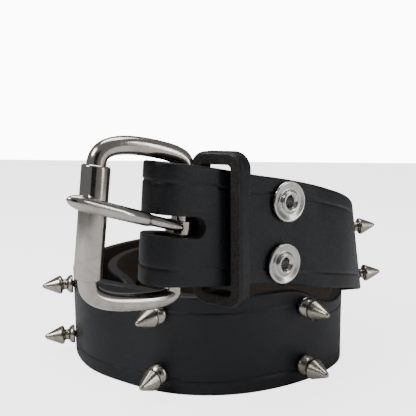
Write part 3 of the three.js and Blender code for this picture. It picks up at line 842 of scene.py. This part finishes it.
def wear_group():
    """Dust specks, hair scratches and cloudy handling marks."""
    group, net, entry, leave = new_group("wear", {"Where": "Vector"}, ["Specks", "Scratches", "Cloud"])
    spots = net.cells(entry["Where"], 230.0)
    patches = net.noise(entry["Where"], 45.0, 2.0)
    specks = net.math("MULTIPLY", net.ramp(spots, 0.055, 0.03), net.ramp(patches, 0.52, 0.66))
    lines = net.noise(net.stretched(entry["Where"], (30.0, 30.0, 900.0)), 1.0, 5.0, 0.65, 0.4)
    thin = net.math("MULTIPLY", net.ramp(lines, 0.66, 0.72), net.ramp(patches, 0.5, 0.62))
    net.feed(leave.inputs["Specks"], specks)
    net.feed(leave.inputs["Scratches"], thin)
    net.feed(leave.inputs["Cloud"], net.noise(entry["Where"], 28.0, 4.0, 0.6, 0.6))
    return group


def handling_group():
    """Fine scratches and dull patches of plated metal."""
    group, net, entry, leave = new_group("handling", {"Where": "Vector"}, ["Scratches", "Dull"])
    hair = net.noise(net.stretched(entry["Where"], (900.0, 900.0, 70.0)), 1.0, 4.0, 0.7, 0.5)
    net.feed(leave.inputs["Scratches"], net.ramp(hair, 0.55, 0.75))
    net.feed(leave.inputs["Dull"], net.ramp(net.noise(entry["Where"], 160.0, 4.0, 0.65, 0.3), 0.4, 0.72))
    return group


def grouped(net, group, inputs):
    node = net.add("Group")
    node.node_tree = group
    for name, value in inputs.items():
        net.feed(node.inputs[name], value)
    return node.outputs


def new_material(name):
    material = bpy.data.materials.new(name)
    material.use_nodes = True
    net = Net(material.node_tree)
    shader = material.node_tree.nodes["Principled BSDF"]
    where = net.add("TexCoord").outputs["Object"]
    return material, net, shader, where


def mark(net, flat, along, up, half_along, half_up):
    """Soft mask of one small mark at a place of the flat blank."""
    away = net.add("Mapping", {"Vector": flat, "Location": (-along / half_along, -up / half_up, 0),
                               "Scale": (1 / half_along, 1 / half_up, 0)}).outputs[0]
    distance = net.add("VectorMath", {0: away}, operation="LENGTH").outputs["Value"]
    return net.ramp(distance, 1.0, 0.55)


def leather_material(grain, wear):
    material, net, shader, where = new_material("black_leather")
    flat = net.add("Attribute", attribute_name="flat").outputs["Vector"]
    depth = net.add("SeparateXYZ", {0: flat}).outputs["Z"]
    ragged = net.math("ADD", depth, net.math("MULTIPLY", net.math("SUBTRACT", net.noise(where, 900.0), 0.5), 0.12))
    bare = net.ramp(ragged, 0.12, 0.26)
    flesh = net.ramp(ragged, 0.93, 0.98)
    height = grouped(net, grain, {"Where": where, "Pebbles": 1250.0})["Height"]
    worn = grouped(net, wear, {"Where": where})

    black = net.mix(worn["Cloud"], (0.003, 0.0038, 0.0065, 1), (0.007, 0.0085, 0.0135, 1))
    # Painted highlight: the rounded grain corners of strap and keeper, and the crease grooves at about half
    # strength, are mixed towards a lighter grey where light catches the bevels.
    corner = net.math("MULTIPLY", net.ramp(depth, 0.02, 0.14), 0.3)
    black = net.mix(corner, black, (0.05, 0.048, 0.05, 1))
    marks = net.math("MAXIMUM", net.math("MULTIPLY", worn["Specks"], 0.5), net.math("MULTIPLY", worn["Scratches"], 0.22))
    black = net.mix(marks, black, (0.16, 0.155, 0.15, 1))
    fibres = net.noise(where, 1400.0, 5.0, 0.7)
    suede = net.mix(net.ramp(fibres, 0.3, 0.72), (0.009, 0.0085, 0.0085, 1), (0.045, 0.04, 0.037, 1))
    brown = net.mix(net.ramp(fibres, 0.3, 0.72), (0.018, 0.013, 0.009, 1), (0.06, 0.043, 0.03, 1))
    colour = net.mix(flesh, net.mix(bare, black, suede), brown)
    net.feed(shader.inputs["Base Color"], colour)

    sheen = net.math("ADD", net.math("MULTIPLY", worn["Cloud"], 0.16), 0.33)
    sheen = net.math("ADD", sheen, net.math("MULTIPLY", worn["Scratches"], 0.2))
    net.feed(shader.inputs["Roughness"], net.math("MAXIMUM", sheen, net.math("MULTIPLY", bare, 0.92)))
    relief = net.add("Mix", {0: bare, 2: height, 3: fibres}, data_type="FLOAT").outputs[0]
    bump = net.add("Bump", {"Height": relief, "Strength": 0.32, "Distance": 0.00022})
    net.feed(shader.inputs["Normal"], bump.outputs[0])
    shader.inputs["Specular IOR Level"].default_value = 0.5
    return material


def metal_material(name, handling, bright, dull, roughness, lathe_marks):
    """Plated metal. Turned pieces get fine rings from the lathe's own coordinates."""
    material, net, shader, where = new_material(name)
    found = grouped(net, handling, {"Where": where})
    colour = net.mix(found["Dull"], bright, dull)
    net.feed(shader.inputs["Base Color"], colour)
    rough = net.math("ADD", net.math("MULTIPLY", found["Dull"], 0.12), roughness)
    rough = net.math("ADD", rough, net.math("MULTIPLY", found["Scratches"], 0.08))
    net.feed(shader.inputs["Roughness"], rough)
    relief = found["Scratches"]
    if lathe_marks:
        lathe = net.add("Attribute", attribute_name="lathe").outputs["Vector"]
        rings = net.noise(net.stretched(lathe, (0.0, 0.0, 1.0)), 5200.0, 2.0)
        relief = net.math("ADD", net.math("MULTIPLY", relief, 0.5), rings)
    bump = net.add("Bump", {"Height": relief, "Strength": 0.12, "Distance": 0.00004})
    net.feed(shader.inputs["Normal"], bump.outputs[0])
    shader.inputs["Metallic"].default_value = 1.0
    return material


# Studio

def make_floor():
    bm = bmesh.new()
    bmesh.ops.create_grid(bm, x_segments=1, y_segments=1, size=3)
    floor = as_object("floor", bm)
    material, net, shader, where = new_material("pale_floor")
    shader.inputs["Base Color"].default_value = (0.86, 0.86, 0.86, 1)
    shader.inputs["Roughness"].default_value = 0.9
    shader.inputs["Emission Color"].default_value = (1, 1, 1, 1)
    seen = net.add("LightPath").outputs["Is Camera Ray"]
    net.feed(shader.inputs["Emission Strength"], net.math("MULTIPLY", seen, 3.0))
    floor.data.materials.append(material)


def make_card(name, centre, towards, width, height, shade):
    """A card out of the camera's sight that shapes what the metal reflects."""
    bm = bmesh.new()
    bmesh.ops.create_grid(bm, x_segments=1, y_segments=1, size=0.5)
    turn = (Vector(towards) - Vector(centre)).to_track_quat("Z", "Y").to_matrix().to_4x4()
    bmesh.ops.transform(bm, matrix=Matrix.Translation(centre) @ turn @ Matrix.Diagonal((width, height, 1, 1)),
                        verts=bm.verts)
    card = as_object(name, bm)
    material, net, shader, where = new_material(name)
    shader.inputs["Base Color"].default_value = (shade, shade, shade, 1)
    shader.inputs["Roughness"].default_value = 1.0
    card.data.materials.append(material)
    card.visible_camera = False
    card.visible_shadow = False


def make_light(name, centre, towards, size, power):
    data = bpy.data.lights.new(name, "AREA")
    data.shape = "RECTANGLE"
    data.size, data.size_y = size
    data.energy = power
    light = bpy.data.objects.new(name, data)
    light.location = centre
    light.rotation_euler = (Vector(centre) - Vector(towards)).to_track_quat("Z", "Y").to_euler()
    bpy.context.scene.collection.objects.link(light)


def make_studio():
    make_floor()
    middle = (0, 0, 0.05)
    make_light("key", (-0.55, -0.35, 0.6), middle, (0.3, 0.3), 3.2)
    make_light("fill", (0.7, -0.3, 0.3), middle, (0.12, 0.6), 1.0)
    make_light("overhead", (0, 0.1, 0.95), middle, (0.7, 0.4), 3.5)
    make_card("dark_card", (0, -1.1, 0.3), middle, 0.7, 0.9, 0.02)
    world = bpy.data.worlds.new("studio")
    world.use_nodes = True
    net = Net(world.node_tree)
    seen = net.add("LightPath").outputs["Is Camera Ray"]
    background = world.node_tree.nodes["Background"]
    background.inputs["Color"].default_value = (1, 1, 1, 1)
    net.feed(background.inputs["Strength"], net.math("ADD", net.math("MULTIPLY", seen, 11.0), 0.16))
    bpy.context.scene.world = world


def make_camera():
    data = bpy.data.cameras.new("camera")
    data.lens = 43.27
    data.sensor_width = 36
    camera = bpy.data.objects.new("camera", data)
    pitch = math.radians(90 - 6.94)
    roll = math.radians(0.5)
    turn = Matrix.Rotation(pitch, 4, "X") @ Matrix.Rotation(roll, 4, "Z")
    camera.matrix_world = Matrix.Translation((-0.00633, -0.22459, 0.0909)) @ turn
    bpy.context.scene.collection.objects.link(camera)
    bpy.context.scene.camera = camera


make_camera()
make_studio()
grain = grain_group()
wear = wear_group()
handling = handling_group()
leather = leather_material(grain, wear)
nickel = metal_material("nickel_plate", handling, (0.72, 0.69, 0.645, 1), (0.55, 0.5, 0.44, 1), 0.13, False)
turned_nickel = metal_material("turned_nickel", handling, (0.6, 0.56, 0.5, 1), (0.42, 0.37, 0.31, 1), 0.22, True)
pressed_steel = metal_material("pressed_steel", handling, (0.8, 0.79, 0.77, 1), (0.6, 0.58, 0.54, 1), 0.2, True)
make_strap(leather)
make_keeper(leather)
make_spikes(turned_nickel)
make_snaps(pressed_steel)
make_buckle_frame(nickel)
make_roller(nickel)
make_prong(nickel)
